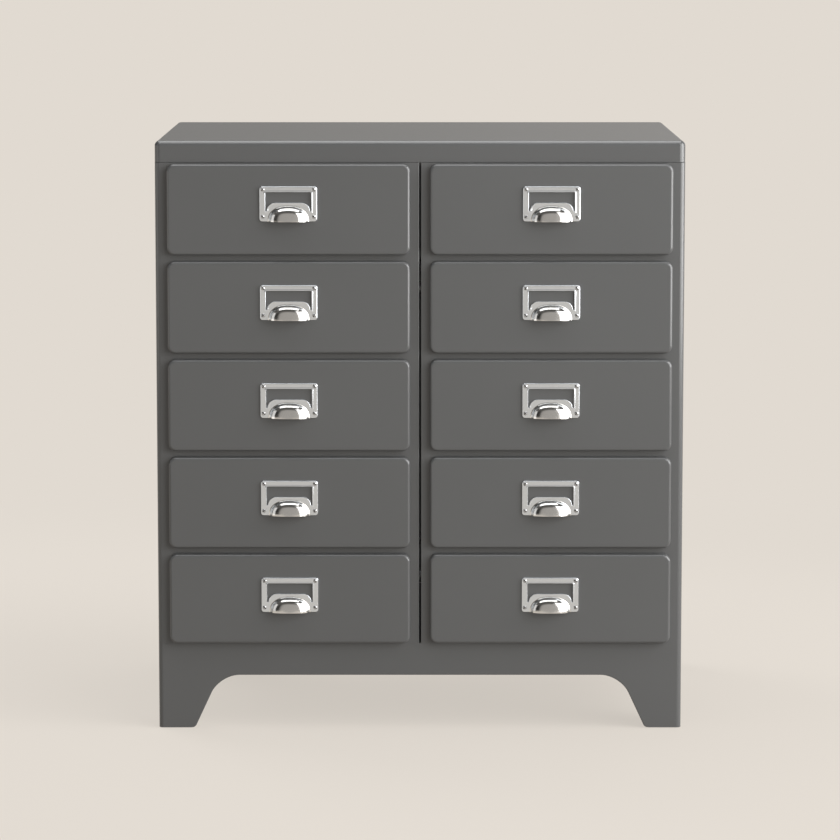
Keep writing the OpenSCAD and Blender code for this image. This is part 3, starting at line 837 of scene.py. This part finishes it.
def floor_paint():
    """Warm pale floor. To the eye and in metal it is mostly its own colour, with a soft shadow."""
    material = bpy.data.materials.new("studio_floor")
    material.use_nodes = True
    material.cycles.emission_sampling = "NONE"
    nodes, links = material.node_tree.nodes, material.node_tree.links
    nodes.remove(nodes["Principled BSDF"])
    lit = nodes.new("ShaderNodeBsdfDiffuse")
    glow = nodes.new("ShaderNodeEmission")
    glow.inputs["Color"].default_value = FLOOR_COLOUR

    far = nodes.new("ShaderNodeVectorMath")
    far.operation = "LENGTH"
    links.new(nodes.new("ShaderNodeTexCoord").outputs["Object"], far.inputs[0])
    own = nodes.new("ShaderNodeMapRange")
    own.interpolation_type = "SMOOTHSTEP"
    own.inputs["From Min"].default_value = SHADE_NEAR
    own.inputs["From Max"].default_value = SHADE_FAR
    own.inputs["To Min"].default_value = 1 - FLOOR_SHADE
    links.new(far.outputs["Value"], own.inputs["Value"])

    rays = nodes.new("ShaderNodeLightPath")
    seen = rays.outputs["Is Camera Ray"]
    for kind in ("Is Glossy Ray", "Is Transmission Ray"):
        either = nodes.new("ShaderNodeMath")
        either.operation = "MAXIMUM"
        links.new(seen, either.inputs[0])
        links.new(rays.outputs[kind], either.inputs[1])
        seen = either.outputs["Value"]
    tone = nodes.new("ShaderNodeMix")
    tone.data_type = "RGBA"
    tone.inputs["A"].default_value = (*(FLOOR_BOUNCE * value for value in FLOOR_COLOUR[:3]), 1)
    tone.inputs["B"].default_value = (*(FLOOR_LIT * value for value in FLOOR_COLOUR[:3]), 1)
    links.new(seen, tone.inputs["Factor"])
    links.new(tone.outputs["Result"], lit.inputs["Color"])
    share = nodes.new("ShaderNodeMath")
    share.operation = "MULTIPLY"
    links.new(seen, share.inputs[0])
    links.new(own.outputs["Result"], share.inputs[1])
    mix = nodes.new("ShaderNodeMixShader")
    links.new(share.outputs["Value"], mix.inputs["Fac"])
    links.new(lit.outputs["BSDF"], mix.inputs[1])
    links.new(glow.outputs["Emission"], mix.inputs[2])
    links.new(mix.outputs["Shader"], nodes["Material Output"].inputs["Surface"])
    return material


mesh.materials.append(floor_paint())

# The room by compass bearing, clockwise from the back: its brightness just over the horizon.
# Between two heights in degrees it fades to what is overhead.
ROOM = ((0, 0.26), (12, 0.42), (40, 0.34), (70, 0.34), (115, 0.40), (165, 0.44), (194, 0.42),
        (208, 0.04), (320, 0.04), (346, 0.15), (360, 0.26))
ROOM_HIGH = 0.10
ROOM_FADE_FROM = 22
ROOM_FADE_TO = 36
ROOM_TINT = (1.04, 1.00, 0.95, 1)


def room():
    """The room: pale from the back round the right to the front, dark on the left, dim overhead."""
    world = bpy.data.worlds.new("studio")
    world.use_nodes = True
    nodes, links = world.node_tree.nodes, world.node_tree.links
    way = nodes.new("ShaderNodeSeparateXYZ")
    links.new(nodes.new("ShaderNodeTexCoord").outputs["Generated"], way.inputs["Vector"])
    bearing = nodes.new("ShaderNodeMath")
    bearing.operation = "ARCTAN2"
    links.new(way.outputs["X"], bearing.inputs[0])
    links.new(way.outputs["Y"], bearing.inputs[1])
    turn = nodes.new("ShaderNodeMapRange")
    turn.inputs["From Min"].default_value = 0
    turn.inputs["From Max"].default_value = 2 * math.pi
    whole = nodes.new("ShaderNodeMath")
    whole.operation = "WRAP"
    whole.inputs[1].default_value = 2 * math.pi
    whole.inputs[2].default_value = 0
    links.new(bearing.outputs["Value"], whole.inputs[0])
    links.new(whole.outputs["Value"], turn.inputs["Value"])
    level = nodes.new("ShaderNodeValToRGB")
    ramp = level.color_ramp
    while len(ramp.elements) < len(ROOM):
        ramp.elements.new(0.5)
    for element, (degrees, value) in zip(ramp.elements, ROOM):
        element.position = degrees / 360
        element.color = (value, value, value, 1)
    links.new(turn.outputs["Result"], level.inputs["Fac"])
    high = nodes.new("ShaderNodeMapRange")
    high.interpolation_type = "SMOOTHSTEP"
    high.inputs["From Min"].default_value = math.sin(math.radians(ROOM_FADE_FROM))
    high.inputs["From Max"].default_value = math.sin(math.radians(ROOM_FADE_TO))
    links.new(way.outputs["Z"], high.inputs["Value"])
    blend = nodes.new("ShaderNodeMix")
    blend.data_type = "RGBA"
    blend.inputs["B"].default_value = (ROOM_HIGH, ROOM_HIGH, ROOM_HIGH, 1)
    links.new(high.outputs["Result"], blend.inputs["Factor"])
    links.new(level.outputs["Color"], blend.inputs["A"])
    warm = nodes.new("ShaderNodeMix")
    warm.data_type = "RGBA"
    warm.blend_type = "MULTIPLY"
    warm.inputs["Factor"].default_value = 1
    warm.inputs["B"].default_value = ROOM_TINT
    links.new(blend.outputs["Result"], warm.inputs["A"])
    links.new(warm.outputs["Result"], nodes["Background"].inputs["Color"])
    return world


bpy.context.scene.world = room()


def soft_light(name, place, aim, width, height, power):
    """A flat soft box."""
    data = bpy.data.lights.new(name, "AREA")
    data.shape = "RECTANGLE"
    data.size, data.size_y = width, height
    data.energy = power
    light = bpy.data.objects.new(name, data)
    bpy.context.scene.collection.objects.link(light)
    light.location = place
    light.rotation_euler = (Vector(aim) - Vector(place)).to_track_quat("-Z", "Y").to_euler()
    return light


# Place, aim, width, height and power in watts
soft_light("front_right_light", (1.84, -2.82, 1.75), (0, -0.2, 1.75), 2.0, 3.4, 70)
soft_light("right_light", (2.84, -1.18, 1.75), (0, -0.2, 1.75), 2.1, 3.2, 146)
soft_light("overhead_light", (-0.15, 0.13, 2.6), (-0.15, 0.13, 0), 2.2, 2.9, 54)
left_card = soft_light("left_card", (-2.3, -1.05, 1.1), (0, -0.6, 1.1), 1.5, 1.9, 7.6)
left_card.visible_diffuse = False
back_fill = soft_light("back_fill", (-2.2, 2.2, 0.9), (-0.2, 0.1, 0.4), 2.0, 1.4, 90)
back_fill.visible_glossy = False

# The camera stands well back in front, a little higher than the lid, and looks down by 7 degrees.
CAMERA_BACK = 4.5032
CAMERA_HIGH = 0.940
CAMERA_TILT = math.radians(7.30)
LENS = 168.08

camera_data = bpy.data.cameras.new("studio_camera")
camera_data.sensor_width = 36
camera_data.lens = LENS
camera = bpy.data.objects.new("studio_camera", camera_data)
bpy.context.scene.collection.objects.link(camera)
camera.location = (0, frame_lo.y - CAMERA_BACK, CAMERA_HIGH)
camera.rotation_euler = (math.pi / 2 - CAMERA_TILT, 0, 0)
bpy.context.scene.camera = camera
bpy.context.scene.view_settings.view_transform = "Standard"
